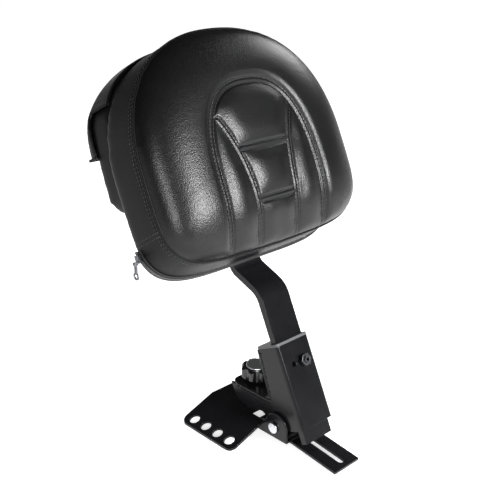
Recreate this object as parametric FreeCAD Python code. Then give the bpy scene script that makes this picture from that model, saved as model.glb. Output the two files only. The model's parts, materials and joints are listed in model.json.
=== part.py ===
"""Motorcycle driver backrest: folded-steel base, tilting receiver, sliding support bar and upholstered pad.

Millimetres and degrees. Origin: middle of the strap's flat underside, straight below the pivot pin.
+Z is up, the pad's front faces -Y, and the part is symmetric about X = 0 apart from screw and zip.
"""
import FreeCAD, Part
import math
import os

Vector = FreeCAD.Vector

# Sheet steel and clearances
sheet = 3.0
running_gap = 0.05
side_gap = 0.3
washer_gap = 0.1

# Slotted strap under the base
strap_width = 40.0
strap_rear = 40.0
strap_bend = 20.0
strap_tongue = 66.0
strap_droop = 6.5
slot_width = 7.4
slot_length = 50.0
slot_margin = 7.0

# Hinge channel with two ears
channel_width = 58.0
channel_rear = 40.0
ear_height = 15.0
lug_radius = 17.0
lug_forward = 3.0
lug_rise = 2.0
ear_dip_radius = 10.0
pivot_rise = 14.0

# Saddle plate with drooping, drilled flanges
saddle_front = 17.0
saddle_length = 89.0
saddle_width = 160.0
crown_width = 60.0
flange_droop = 19.0
saddle_corner = 9.0
hole_diameter = 12.6
hole_pitch = 20.2
hole_count = 4
hole_inset = 10.0

# Pivot pin and its rings
pin_diameter = 10.0
pin_head_diameter = 13.0
pin_head_height = 3.0
pin_clip_diameter = 17.0
pin_clip_height = 1.5
pin_tail = 2.0
pivot_washer_diameter = 18.0

# Receiver and tilt wedge
recline = 25.2
receiver_width = 50.0
receiver_length = 98.5
receiver_setback = 41.0
receiver_lift = 11.5
receiver_bend = 4.0
top_depth = 32.0
heel_depth = 22.0
pivot_lug_radius = 10.0
apex_back = 8.0
arm_rise = 27.0
arm_back = 76.0
arm_bend = 6.0
arm_corner = 10.0
wedge_tail_back = 67.0
wedge_tail_drop = 17.0
wedge_low_back = 46.0
wedge_low_gap = 1.5
wedge_belly_back = 24.0
wedge_belly_rise = 9.5
weld_radius = 2.2

# Guide bushes
bush_height = 14.0
lip_height = 3.0
lower_bush_start = 1.0
lower_bush_height = 12.0

# Clamp screw in the receiver's front wall
screw_diameter = 8.0
screw_below_top = 25.0
screw_offset = 6.5
screw_reach = 8.0
screw_socket = 4.0
screw_socket_depth = 5.0
nut_across = 13.0
nut_height = 6.5
spare_hole_diameter = 6.0
spare_hole_offset = -8.0

# Tilt adjuster on the wedge's rear arm
adjuster_back = 57.0
stud_diameter = 8.0
stud_hole_gap = 0.5
hub_diameter = 16.0
hub_height = 2.5
knob_core_diameter = 33.0
knob_height = 14.0
knob_lobes = 8
lobe_diameter = 10.0
lobe_circle = 30.0
knob_edge = 2.0
knob_cap_diameter = 27.0
knob_cap_height = 2.2
foot_diameter = 16.0
foot_height = 4.0

# Support bar
bar_width = 41.7
bar_thickness = 8.0
bar_behind_front = 5.0
bar_below = 17.0
bar_drop = 6.4
bar_run_slope = 22.0
bar_lower_bend = 26.0
bar_upper_bend = 14.0
bar_top = 135.0

# Pad placement and outline
pad_back = 28.8
pad_lift = 228.6
pad_width = 288.0
pad_height = 242.0
pad_waist = 96.0
pad_drop = 12.0
pad_depth = 57.0
crown_height = 30.0
crown_round = 62.0
top_power = 2.3
bottom_power = 5.0
cover_thickness = 1.5
piping_width = 2.4
piping_stand = 1.6

# Arched insert of the front cover, its panels and stitched seams
arch_width = 142.0
arch_waist = 70.0
arch_rise = 105.0
arch_power = 2.6
arch_foot = 9.0
middle_foot = 56.0
middle_width = 102.0
middle_height = 137.0
middle_power = 3.2
upper_welt = 105.0
lower_welt = 48.0
seam_band = 9.0
insert_sink = 4.5
panel_rise = 2.5

# Board, bolts and tee nuts inside the pad
board_thickness = 10.0
board_inset = 14.0
bolt_diameter = 8.0
bolt_head_diameter = 14.0
bolt_head_height = 4.5
bolt_low = 45.0
bolt_pitch = 60.0
tee_barrel_diameter = 10.0
tee_flange_diameter = 20.0
tee_flange_thickness = 1.2

# Pouch and flap on the pad's back
pouch_width = 248.0
pouch_bottom = 66.0
pouch_top = 240.0
pouch_waist = 150.0
pouch_depth = 43.0
pouch_round = 15.0
pouch_shoulder = 188.0
pouch_neck_depth = 14.0
pouch_sag = 14.0
flap_thickness = 3.0
flap_edge = 190.0
flap_hem = 142.0
flap_hem_depth = 4.0
flap_piping = 1.4
flap_piping_width = 3.0

# Zip on the lower rear boxing
zip_from_rear = 7.0
zip_tape_width = 11.0
zip_tape_thickness = 0.8
zip_chain_width = 3.4
zip_chain_thickness = 1.4
zip_top = 34.0
slider_height_on_pad = 26.0
slider_length = 9.0
slider_width = 7.0
slider_thickness = 2.6
pull_length = 18.0
pull_width = 8.5
pull_thickness = 1.4
pull_eye = 4.6
bail_diameter = 1.6
bail_stand = 3.0

# Sizes that follow from the ones above
half_channel = channel_width / 2
half_receiver = receiver_width / 2
floor_z = sheet
pivot_z = floor_z + pivot_rise
crown_z = floor_z + ear_height
ear_inner = half_channel - sheet
arm_z = pivot_z + arm_rise
receiver_y = -receiver_setback
receiver_z = pivot_z + receiver_lift
screw_height = receiver_length - screw_below_top
saddle_rear = saddle_front + saddle_length
half_bar = bar_width / 2
bar_back = bar_behind_front + bar_thickness
board_rear = pad_depth - cover_thickness - side_gap
board_front = board_rear - board_thickness
zip_depth = pad_depth - zip_from_rear
recline_rad = math.radians(recline)
up_y = math.sin(recline_rad)
up_z = math.cos(recline_rad)


def box(x0, x1, y0, y1, z0, z1):
    """Box between two corners."""
    return Part.makeBox(x1 - x0, y1 - y0, z1 - z0, Vector(x0, y0, z0))


def cylinder(radius, height, base, axis):
    """Cylinder from a base point along an axis."""
    return Part.makeCylinder(radius, height, Vector(*base), Vector(*axis))


def prism_x(points, x0, x1):
    """Extrudes a closed outline of (y, z) points from x0 to x1."""
    wire = Part.makePolygon([Vector(x0, y, z) for y, z in points + points[:1]])
    return Part.Face(wire).extrude(Vector(x1 - x0, 0, 0))


def hexagon(across, height, base, axis):
    """Hexagonal prism, across its flats, from a base point along an axis."""
    radius = across / math.sqrt(3)
    corners = [math.radians(60 * step) for step in range(7)]
    wire = Part.makePolygon([Vector(radius * math.cos(a), radius * math.sin(a), 0) for a in corners])
    solid = Part.Face(wire).extrude(Vector(0, 0, height))
    turn = FreeCAD.Rotation(Vector(0, 0, 1), Vector(*axis))
    solid.Placement = FreeCAD.Placement(Vector(*base), turn)
    return solid


def reclined(shape, y, z):
    """Leans a shape back by the recline angle and sets its local origin at (0, y, z)."""
    placed = shape.copy()
    turn = FreeCAD.Rotation(Vector(1, 0, 0), -recline)
    placed.Placement = FreeCAD.Placement(Vector(0, y, z), turn).multiply(placed.Placement)
    return placed


def on_receiver(shape):
    """Places a shape from receiver axes: x across, y back from the front face, z up from its foot."""
    return reclined(shape, receiver_y, receiver_z)


def on_pad(shape):
    """Places a shape from pad axes: x across, y back from the front seam, z up from its lower edge."""
    return reclined(shape, pad_back, pad_lift)


def receiver_point(back, up):
    """Row (y, z) of a point given in receiver axes."""
    return (receiver_y + back * up_z + up * up_y, receiver_z - back * up_y + up * up_z)


def pad_point(back, up):
    """Row (y, z) of a point given in pad axes."""
    return (pad_back + back * up_z + up * up_y, pad_lift - back * up_y + up * up_z)


def unit(start, end):
    """Unit (y, z) direction from one point to the next."""
    length = math.dist(start, end)
    return ((end[0] - start[0]) / length, (end[1] - start[1]) / length)


def bent_strip(path, left, right, bends, x0, x1):
    """Flat strip along a (y, z) path, reaching left and right of it, with a bend radius at each corner."""
    directions = [unit(a, b) for a, b in zip(path, path[1:])]

    def side(offset):
        edges = []
        start = (path[0][0] - directions[0][1] * offset, path[0][1] + directions[0][0] * offset)
        for corner, before, after, bend in zip(path[1:-1], directions, directions[1:], bends):
            turn = math.atan2(before[0] * after[1] - before[1] * after[0],
                              before[0] * after[0] + before[1] * after[1])
            sense = math.copysign(1.0, turn)
            reach = bend * math.tan(abs(turn) / 2)
            enter = (corner[0] - before[0] * reach, corner[1] - before[1] * reach)
            leave = (corner[0] + after[0] * reach, corner[1] + after[1] * reach)
            centre = (enter[0] - before[1] * bend * sense, enter[1] + before[0] * bend * sense)
            middle = unit(centre, corner)
            radius = bend - offset * sense
            first = (enter[0] - before[1] * offset, enter[1] + before[0] * offset)
            last = (leave[0] - after[1] * offset, leave[1] + after[0] * offset)
            through = (centre[0] + middle[0] * radius, centre[1] + middle[1] * radius)
            edges.append(Part.LineSegment(point(start), point(first)).toShape())
            edges.append(Part.Arc(point(first), point(through), point(last)).toShape())
            start = last
        end = path[-1]
        finish = (end[0] - directions[-1][1] * offset, end[1] + directions[-1][0] * offset)
        edges.append(Part.LineSegment(point(start), point(finish)).toShape())
        return edges

    def point(yz):
        return Vector(x0, yz[0], yz[1])

    left_edges = side(left)
    right_edges = side(-right)
    caps = []
    for index in (0, -1):
        vertex = 0 if index == 0 else -1
        ends = [run[index].Vertexes[vertex].Point for run in (left_edges, right_edges)]
        caps.append(Part.LineSegment(*ends).toShape())
    wire = Part.Wire(Part.__sortEdges__(left_edges + right_edges + caps))
    return Part.Face(wire).extrude(Vector(x1 - x0, 0, 0))


def shield_wire(half_width, top, bottom, waist, depth):
    """Closed shield outline: two half superellipses that meet at the waist, at one depth."""
    samples = 40
    points = []
    for step in range(samples):
        angle = 2 * math.pi * step / samples
        across = math.cos(angle)
        along = math.sin(angle)
        power = top_power if along >= 0 else bottom_power
        height = top - waist if along >= 0 else waist - bottom
        scale = (abs(across) / half_width) ** power + (abs(along) / height) ** power
        radius = scale ** (-1 / power)
        points.append(Vector(radius * across, depth, waist + radius * along))
    curve = Part.BSplineCurve()
    curve.interpolate(Points=points, PeriodicFlag=True)
    first = curve.FirstParameter
    quarter = (curve.LastParameter - first) / 4
    edges = [curve.toShape(first + quarter * step, first + quarter * (step + 1)) for step in range(4)]
    return Part.Wire(edges)


def pad_section(depth, inset):
    """Pad outline at a depth behind the front seam, drawn in by an inset."""
    drop = pad_drop * max(depth, 0) / pad_depth
    return shield_wire(pad_width / 2 - inset, pad_height - inset, inset - drop, pad_waist, depth)


def pad_slab(front, rear, inset):
    """Slice of the pad between two depths, drawn in by an inset."""
    return Part.makeLoft([pad_section(front, inset), pad_section(rear, inset)], True, True)


def pad_ring(front, rear, outer_inset, inner_inset):
    """Band round the pad between two insets."""
    return pad_slab(front, rear, outer_inset).cut(pad_slab(front, rear, inner_inset))


def pad_crown(inset):
    """Domed front of the pad, from the seam forward, drawn in by an inset."""
    wires = []
    for fraction in (0.0, 0.4, 0.7, 0.9, 1.0):
        draw_in = inset + crown_round * (1 - math.sqrt(1 - fraction ** 2))
        wires.append(pad_section(-(crown_height - inset) * fraction, draw_in))
    return Part.makeLoft(wires, True, False)


def arch_block(grow):
    """Block in front of the pad inside the arch seam, grown by a distance."""
    half = arch_width / 2 + grow
    rise = arch_rise + grow
    samples = 24
    points = []
    for step in range(samples + 1):
        angle = math.pi * step / samples
        scale = (abs(math.cos(angle)) / half) ** arch_power + (math.sin(angle) / rise) ** arch_power
        radius = scale ** (-1 / arch_power)
        points.append(Vector(radius * math.cos(angle), 0, arch_waist + radius * math.sin(angle)))
    top = Part.BSplineCurve()
    top.interpolate(Points=points)
    right_foot = Vector(half, 0, arch_foot - grow)
    left_foot = Vector(-half, 0, arch_foot - grow)
    edges = [top.toShape(), Part.LineSegment(points[-1], left_foot).toShape(),
             Part.LineSegment(left_foot, right_foot).toShape(), Part.LineSegment(right_foot, points[0]).toShape()]
    return Part.Face(Part.Wire(edges)).extrude(Vector(0, -2 * crown_height, 0))


def middle_half(up):
    """Half width of the middle panel at a height on the pad."""
    return middle_foot / 2 + (middle_width - middle_foot) / 2 * (up / middle_height) ** middle_power


def middle_block(grow):
    """Block in front of the pad between the two inner seams, grown by a distance."""
    samples = 12
    top = arch_waist + arch_rise
    heights = [top * step / samples for step in range(samples + 1)]
    right = [Vector(middle_half(up) + grow, 0, up) for up in heights]
    left = [Vector(-point.x, 0, point.z) for point in reversed(right)]
    edges = []
    for points in (right, left):
        seam = Part.BSplineCurve()
        seam.interpolate(Points=points)
        edges.append(seam.toShape())
    across = [Part.LineSegment(right[-1], left[0]).toShape(), Part.LineSegment(left[-1], right[0]).toShape()]
    wire = Part.Wire([edges[0], across[0], edges[1], across[1]])
    return Part.Face(wire).extrude(Vector(0, -2 * crown_height, 0))


def sunk_front(inset):
    """Domed front with its arched insert sunk below the surround, drawn in by an inset."""
    sunk = arch_block(seam_band / 2 + inset).cut(pad_crown(insert_sink + inset))
    return pad_crown(inset).cut(sunk)


def insert_panels():
    """Panels of the insert, raised between the stitched seams."""
    half_band = seam_band / 2
    insert = arch_block(-half_band)
    middle = insert.common(middle_block(-half_band))
    for welt in (upper_welt, lower_welt):
        gap = box(-arch_width, arch_width, -3 * crown_height, 1, welt - half_band, welt + half_band)
        middle = middle.cut(gap)
    outer = insert.cut(middle_block(half_band))
    crown = pad_crown(insert_sink - panel_rise)
    return crown.common(middle).fuse(crown.common(outer))


def slotted_tongue():
    """Strap under the channel floor, bent down in front, with a long slot."""
    tip_y = -strap_bend - strap_tongue * math.cos(math.radians(strap_droop))
    tip_z = sheet - strap_tongue * math.sin(math.radians(strap_droop))
    path = [(strap_rear, sheet), (-strap_bend, sheet), (tip_y, tip_z)]
    strap = bent_strip(path, sheet, 0, [arm_bend], -strap_width / 2, strap_width / 2)
    radius = slot_width / 2
    slot_end = -strap_bend - strap_tongue + slot_margin + radius
    slot_start = slot_end + slot_length - slot_width
    depth = 2 * strap_tongue
    slot = box(-radius, radius, slot_end, slot_start, -depth, depth)
    for y in (slot_end, slot_start):
        slot = slot.fuse(cylinder(radius, 2 * depth, (0, y, -depth), (0, 0, 1)))
    return strap.cut(slot)


def ear_face_points():
    """Tangent points of the ear's outline: lug circle and the dip behind it."""
    centre_y = -lug_forward
    centre_z = pivot_z + lug_rise
    dip_z = crown_z + ear_dip_radius
    spread = lug_radius + ear_dip_radius
    dip_y = centre_y + math.sqrt(spread ** 2 - (dip_z - centre_z) ** 2)
    share = lug_radius / spread
    meet = (centre_y + (dip_y - centre_y) * share, centre_z + (dip_z - centre_z) * share)
    return (centre_y, centre_z), (dip_y, dip_z), meet


def hinge_channel():
    """Folded channel: floor and two ears with rounded lugs round the pin."""
    (centre_y, centre_z), (dip_y, dip_z), meet = ear_face_points()
    front = centre_y - lug_radius
    turn = math.atan2(meet[1] - dip_z, meet[0] - dip_y)
    middle = (turn - math.pi / 2) / 2 if turn > 0 else (turn + 2 * math.pi + 1.5 * math.pi) / 2
    through = (dip_y + ear_dip_radius * math.cos(middle), dip_z + ear_dip_radius * math.sin(middle))

    def at(y, z):
        return Vector(-half_channel, y, z)

    edges = [
        Part.LineSegment(at(front, floor_z), at(front, centre_z)).toShape(),
        Part.Arc(at(front, centre_z), at(centre_y, centre_z + lug_radius), at(*meet)).toShape(),
        Part.Arc(at(*meet), at(*through), at(dip_y, crown_z)).toShape(),
        Part.LineSegment(at(dip_y, crown_z), at(channel_rear, crown_z)).toShape(),
        Part.LineSegment(at(channel_rear, crown_z), at(channel_rear, floor_z)).toShape(),
        Part.LineSegment(at(channel_rear, floor_z), at(front, floor_z)).toShape(),
    ]
    block = Part.Face(Part.Wire(edges)).extrude(Vector(channel_width, 0, 0))
    tall = pivot_z + lug_radius + lug_rise
    inside = box(-ear_inner, ear_inner, front - sheet, channel_rear + sheet, floor_z + sheet, tall + sheet)
    channel = block.cut(inside)
    bore = pin_diameter / 2 + running_gap
    return channel.cut(cylinder(bore, channel_width + 2, (-half_channel - 1, 0, pivot_z), (1, 0, 0)))


def flange_hole_places():
    """Centres of one flange's holes on its top face, as (x, y, z)."""
    droop = math.radians(flange_droop)
    x = saddle_width / 2 - hole_inset
    z = crown_z - (x - crown_width / 2) * math.tan(droop)
    first = saddle_front + (saddle_length - (hole_count - 1) * hole_pitch) / 2
    return [(x, first + step * hole_pitch, z) for step in range(hole_count)]


def saddle_plate():
    """Saddle: flat crown, drooping flanges with a row of holes, notched round the hinge channel."""
    droop = math.radians(flange_droop)
    half_crown = crown_width / 2
    half_width = saddle_width / 2
    fall = (half_width - half_crown) * math.tan(droop)
    inner_shift = sheet * math.tan(droop / 2)
    upright = sheet / math.cos(droop)
    top = [(-half_width, crown_z - fall), (-half_crown, crown_z), (half_crown, crown_z),
           (half_width, crown_z - fall)]
    under = [(half_width, crown_z - fall - upright), (half_crown - inner_shift, crown_z - sheet),
             (inner_shift - half_crown, crown_z - sheet), (-half_width, crown_z - fall - upright)]
    outline = top + under
    wire = Part.makePolygon([Vector(x, saddle_front, z) for x, z in outline + outline[:1]])
    plate = Part.Face(wire).extrude(Vector(0, saddle_length, 0))
    low = crown_z - fall - 2 * upright
    blank = box(-half_width, half_width, saddle_front, saddle_rear, low, crown_z + sheet)
    uprights = [edge for edge in blank.Edges if abs(edge.Vertexes[0].Z - edge.Vertexes[1].Z) > sheet]
    plate = plate.common(blank.makeFillet(saddle_corner, uprights))
    plate = plate.cut(box(-half_channel, half_channel, saddle_front - 1, channel_rear, low, crown_z + 1))
    for x, y, z in flange_hole_places():
        for side in (-1, 1):
            normal = (side * math.sin(droop), 0, math.cos(droop))
            base = (side * x - normal[0] * hole_diameter, y, z - normal[2] * hole_diameter)
            plate = plate.cut(cylinder(hole_diameter / 2, 2 * hole_diameter, base, normal))
    return plate


def pivot_pin():
    """Headed pin through both ears."""
    reach = half_channel + pin_clip_height + pin_tail
    pin = cylinder(pin_diameter / 2, half_channel + reach, (-half_channel, 0, pivot_z), (1, 0, 0))
    head_x = -half_channel - pin_head_height
    head = cylinder(pin_head_diameter / 2, pin_head_height, (head_x, 0, pivot_z), (1, 0, 0))
    return pin.fuse(head).removeSplitter()


def pin_ring(outer, thickness, x):
    """Flat ring on the pivot pin."""
    ring = cylinder(outer / 2, thickness, (x, 0, pivot_z), (1, 0, 0))
    return ring.cut(cylinder(pin_diameter / 2 + running_gap, thickness, (x, 0, pivot_z), (1, 0, 0)))


def pivot_washers():
    """One thin washer between each ear and the tilting cheek."""
    thickness = ear_inner - half_receiver - 2 * washer_gap
    near = pin_ring(pivot_washer_diameter, thickness, half_receiver + washer_gap)
    far = pin_ring(pivot_washer_diameter, thickness, -half_receiver - washer_gap - thickness)
    return Part.makeCompound([near, far])


def wedge_outline():
    """Cheek outline in row (y, z): receiver front, top, V notch, tail, belly and heel."""
    return [
        receiver_point(0, 0),
        receiver_point(0, receiver_length),
        receiver_point(top_depth, receiver_length),
        (apex_back, arm_z),
        (arm_back, arm_z),
        (wedge_tail_back, arm_z - wedge_tail_drop),
        (wedge_low_back, crown_z + wedge_low_gap),
        (wedge_belly_back, pivot_z + wedge_belly_rise),
        (0, pivot_z),
        receiver_point(heel_depth, 0),
    ]


def receiver_channel():
    """Folded receiver: front wall and two wedge-shaped cheeks with pivot lugs."""
    outline = wedge_outline()
    bracket = on_receiver(box(-half_receiver, half_receiver, 0, sheet, 0, receiver_length))
    bore = pin_diameter / 2 + running_gap
    for outer in (-half_receiver, half_receiver - sheet):
        cheek = prism_x(outline, outer, outer + sheet)
        cheek = cheek.fuse(cylinder(pivot_lug_radius, sheet, (outer, 0, pivot_z), (1, 0, 0)))
        bracket = bracket.fuse(cheek)
    bracket = bracket.removeSplitter()
    foot = Vector(0, *receiver_point(0, 0))
    head = Vector(0, *receiver_point(0, receiver_length))
    folds = []
    for edge in bracket.Edges:
        ends = [vertex.Point for vertex in edge.Vertexes]
        along_front = len(ends) == 2 and abs(edge.Length - receiver_length) < sheet / 10
        if along_front and abs(abs(ends[0].x) - half_receiver) < sheet / 10:
            lowest = min(ends, key=lambda p: p.z)
            highest = max(ends, key=lambda p: p.z)
            if abs(lowest.y - foot.y) < sheet / 10 and abs(highest.y - head.y) < sheet / 10:
                folds.append(edge)
    bracket = bracket.makeFillet(receiver_bend, folds)
    for across, diameter in ((screw_offset, screw_diameter + 2 * running_gap),
                             (spare_hole_offset, spare_hole_diameter)):
        hole = cylinder(diameter / 2, 3 * sheet, (across, -sheet, screw_height), (0, 1, 0))
        bracket = bracket.cut(on_receiver(hole))
    return bracket.cut(cylinder(bore, receiver_width + 2, (-half_receiver - 1, 0, pivot_z), (1, 0, 0)))


def v_plate():
    """Bent plate in the wedge's V notch: closes the receiver's back and carries the adjuster."""
    top = receiver_point(top_depth, receiver_length)
    apex = (apex_back, arm_z)
    lean = unit(apex, top)
    above = (top[0] + lean[0] * sheet, top[1] + lean[1] * sheet)
    path = [above, apex, (arm_back, arm_z)]
    plate = bent_strip(path, sheet, 0, [arm_bend + sheet], -half_receiver, half_receiver)
    tall = 2 * top_depth
    plate = plate.cut(on_receiver(box(-tall, tall, -tall, 2 * tall, receiver_length, receiver_length + tall)))
    ends = [edge for edge in plate.Edges
            if abs(edge.Length - sheet) < sheet / 10
            and all(abs(vertex.Y - arm_back) < sheet / 10 for vertex in edge.Vertexes)]
    plate = plate.makeFillet(arm_corner, ends)
    hole = stud_diameter / 2 + stud_hole_gap
    return plate.cut(cylinder(hole, 3 * sheet, (0, adjuster_back, arm_z - sheet), (0, 0, 1)))


def weld_beads():
    """Half-round bead along the V joint on each outer side."""
    top = receiver_point(top_depth, receiver_length)
    apex = (apex_back, arm_z)
    tail = (arm_back - arm_corner, arm_z)
    lean = unit(apex, top)
    stop = (top[0] - lean[0] * weld_radius, top[1] - lean[1] * weld_radius)
    beads = []
    for side in (-1, 1):
        x = side * half_receiver
        rod = Part.makeSphere(weld_radius, Vector(x, *apex))
        for end in (stop, tail):
            span = math.dist(apex, end)
            along = unit(apex, end)
            rod = rod.fuse(cylinder(weld_radius, span, (x, *apex), (0, *along)))
        inner = min(x, x - side * 2 * weld_radius)
        sunk = box(inner, inner + 2 * weld_radius, -arm_back, 2 * arm_back, 0, 2 * receiver_length)
        beads.append(rod.cut(sunk).removeSplitter())
    return Part.makeCompound(beads)


def bar_slot(start, end):
    """Clearance slot for the bar through a bush, in receiver axes."""
    reach = half_bar + side_gap
    return box(-reach, reach, bar_behind_front - side_gap, bar_back + side_gap, start, end)


def upper_guide_bush():
    """Bush in the receiver's mouth, with a lip over its top edge."""
    half_inside = half_receiver - sheet - washer_gap
    start = receiver_length - bush_height
    body = box(-half_inside, half_inside, sheet, top_depth - side_gap, start, receiver_length)
    end = receiver_length + lip_height
    lip = box(-half_receiver, half_receiver, 0, top_depth + sheet, receiver_length, end)
    corners = [edge for edge in lip.Edges if abs(edge.Length - lip_height) < sheet / 10]
    lip = lip.makeFillet(receiver_bend, corners)
    return on_receiver(body.fuse(lip).cut(bar_slot(start, end)))


def lower_guide_bush():
    """Bush that guides the bar at the receiver's foot."""
    half_inside = half_receiver - sheet - washer_gap
    end = lower_bush_start + lower_bush_height
    body = box(-half_inside, half_inside, sheet, heel_depth - sheet, lower_bush_start, end)
    return on_receiver(body.cut(bar_slot(lower_bush_start, end)))


def clamp_screw():
    """Socket set screw that bears on the bar's front face."""
    tip = bar_behind_front - side_gap
    start = -nut_height - screw_reach / 4
    screw = cylinder(screw_diameter / 2, tip - start, (screw_offset, start, screw_height), (0, 1, 0))
    socket = hexagon(screw_socket, screw_socket_depth, (screw_offset, start, screw_height), (0, 1, 0))
    return on_receiver(screw.cut(socket))


def lock_nut():
    """Hexagon nut on the receiver's front face."""
    nut = hexagon(nut_across, nut_height, (screw_offset, -nut_height, screw_height), (0, 1, 0))
    bore = cylinder(screw_diameter / 2 + running_gap, nut_height,
                    (screw_offset, -nut_height, screw_height), (0, 1, 0))
    return on_receiver(nut.cut(bore))


def weld_nut():
    """Hexagon nut welded under the rear arm."""
    low = arm_z - nut_height
    nut = hexagon(nut_across, nut_height, (0, adjuster_back, low), (0, 0, 1))
    return nut.cut(cylinder(stud_diameter / 2 + running_gap, nut_height, (0, adjuster_back, low), (0, 0, 1)))


def adjuster_knob():
    """Lobed hand knob with a hub, bored for the stud."""
    hub_z = arm_z + sheet + side_gap
    grip_z = hub_z + hub_height
    grip = cylinder(knob_core_diameter / 2, knob_height, (0, adjuster_back, grip_z), (0, 0, 1))
    for step in range(knob_lobes):
        angle = 2 * math.pi * (step + 0.5) / knob_lobes
        x = lobe_circle / 2 * math.cos(angle)
        y = adjuster_back + lobe_circle / 2 * math.sin(angle)
        grip = grip.fuse(cylinder(lobe_diameter / 2, knob_height, (x, y, grip_z), (0, 0, 1)))
    reach = (lobe_circle + lobe_diameter) / 2
    barrel = cylinder(reach, knob_height, (0, adjuster_back, grip_z), (0, 0, 1))
    rims = [edge for edge in barrel.Edges if edge.Closed]
    grip = grip.common(barrel.makeChamfer(knob_edge, rims)).removeSplitter()
    hub = cylinder(hub_diameter / 2, hub_height, (0, adjuster_back, hub_z), (0, 0, 1))
    bore = cylinder(stud_diameter / 2, hub_height + knob_height, (0, adjuster_back, hub_z), (0, 0, 1))
    return grip.fuse(hub).cut(bore)


def knob_cap():
    """Bright disc on the knob's top."""
    low = arm_z + sheet + side_gap + hub_height + knob_height
    cap = cylinder(knob_cap_diameter / 2, knob_cap_height, (0, adjuster_back, low), (0, 0, 1))
    rim = [edge for edge in cap.Edges if abs(edge.BoundBox.ZMin - low - knob_cap_height) < sheet / 10]
    return cap.makeFillet(knob_cap_height / 2, rim)


def adjuster_stud():
    """Stud from the knob through the weld nut down to the foot."""
    low = crown_z + side_gap + foot_height
    high = arm_z + sheet + side_gap + hub_height + knob_height
    return cylinder(stud_diameter / 2, high - low, (0, adjuster_back, low), (0, 0, 1))


def adjuster_foot():
    """Round foot that bears on the saddle's crown."""
    return cylinder(foot_diameter / 2, foot_height, (0, adjuster_back, crown_z + side_gap), (0, 0, 1))


def support_bar():
    """Flat bar: straight in the receiver, cranked back under the pad and up its back panel."""
    middle = bar_behind_front + bar_thickness / 2
    foot = receiver_point(middle, -bar_below)
    upper_bend = pad_point(pad_depth + bar_thickness / 2, -pad_drop - bar_drop)
    slope = math.radians(bar_run_slope)
    run = (math.cos(slope), math.sin(slope))
    gap = (upper_bend[0] - foot[0], upper_bend[1] - foot[1])
    length = (gap[0] * up_z - gap[1] * up_y) / (run[0] * up_z - run[1] * up_y)
    lower_bend = (upper_bend[0] - run[0] * length, upper_bend[1] - run[1] * length)
    top = pad_point(pad_depth + bar_thickness / 2, bar_top)
    half = bar_thickness / 2
    bends = [bar_lower_bend, bar_upper_bend]
    bar = bent_strip([foot, lower_bend, upper_bend, top], half, half, bends, -half_bar, half_bar)
    for up in bolt_heights():
        hole = cylinder(bolt_diameter / 2 + running_gap, bar_thickness + 2, (0, pad_depth - 1, up), (0, 1, 0))
        bar = bar.cut(on_pad(hole))
    return bar


def bolt_heights():
    """Heights of the two bar bolts above the pad's lower edge."""
    return (bolt_low, bolt_low + bolt_pitch)


def bar_bolts():
    """Two domed bolts through the bar into the tee nuts."""
    bolts = []
    head_y = pad_depth + bar_thickness
    for up in bolt_heights():
        shank = cylinder(bolt_diameter / 2, head_y - board_front, (0, board_front, up), (0, 1, 0))
        head = cylinder(bolt_head_diameter / 2, bolt_head_height, (0, head_y, up), (0, 1, 0))
        rim = [edge for edge in head.Edges if edge.BoundBox.YMin > head_y + bolt_head_height / 2]
        head = head.makeFillet(bolt_head_height / 2, rim)
        bolts.append(on_pad(shank.fuse(head)))
    return Part.makeCompound(bolts)


def tee_nuts():
    """Two flanged tee nuts set into the board's front."""
    nuts = []
    for up in bolt_heights():
        barrel_length = board_thickness - side_gap
        barrel = cylinder(tee_barrel_diameter / 2, barrel_length, (0, board_front, up), (0, 1, 0))
        start = board_front - tee_flange_thickness
        flange = cylinder(tee_flange_diameter / 2, tee_flange_thickness, (0, start, up), (0, 1, 0))
        bore = cylinder(bolt_diameter / 2 + running_gap, tee_flange_thickness + barrel_length,
                        (0, start, up), (0, 1, 0))
        nuts.append(on_pad(barrel.fuse(flange).cut(bore)))
    return Part.makeCompound(nuts)


def backing_board():
    """Stiff board inside the pad, bored for the tee nuts."""
    board = pad_slab(board_front, board_rear, board_inset)
    for up in bolt_heights():
        hole = cylinder(tee_barrel_diameter / 2 + running_gap, 2 * board_thickness,
                        (0, board_front - 1, up), (0, 1, 0))
        board = board.cut(hole)
    return on_pad(board)


def foam_core():
    """Foam that fills the cover round the board."""
    inset = cover_thickness + side_gap
    foam = sunk_front(inset).fuse(pad_slab(0, board_rear, inset))
    foam = foam.cut(pad_slab(board_front - side_gap, board_rear + 1, board_inset - side_gap))
    pocket_depth = tee_flange_thickness + 2 * side_gap
    for up in bolt_heights():
        pocket = cylinder(tee_flange_diameter / 2 + side_gap, pocket_depth,
                          (0, board_front - pocket_depth, up), (0, 1, 0))
        foam = foam.cut(pocket)
    return on_pad(foam)


def front_cover():
    """Crowned front of the cover, with an arched insert of panels between stitched seams."""
    front = sunk_front(0).fuse(insert_panels())
    return on_pad(front.cut(sunk_front(cover_thickness)))


def side_boxing():
    """Band of cover round the pad's sides."""
    return on_pad(pad_ring(0, pad_depth, 0, cover_thickness))


def back_panel():
    """Flat rear panel of the cover, bored for the bar bolts."""
    panel = pad_slab(pad_depth - cover_thickness, pad_depth, cover_thickness + running_gap)
    for up in bolt_heights():
        hole = cylinder(bolt_diameter / 2 + running_gap, 2 * cover_thickness + 2,
                        (0, pad_depth - cover_thickness - 1, up), (0, 1, 0))
        panel = panel.cut(hole)
    return on_pad(panel)


def seam_piping():
    """Piping round the front seam."""
    half = piping_width / 2
    return on_pad(pad_ring(-half, half, -piping_stand, -running_gap))


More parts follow.
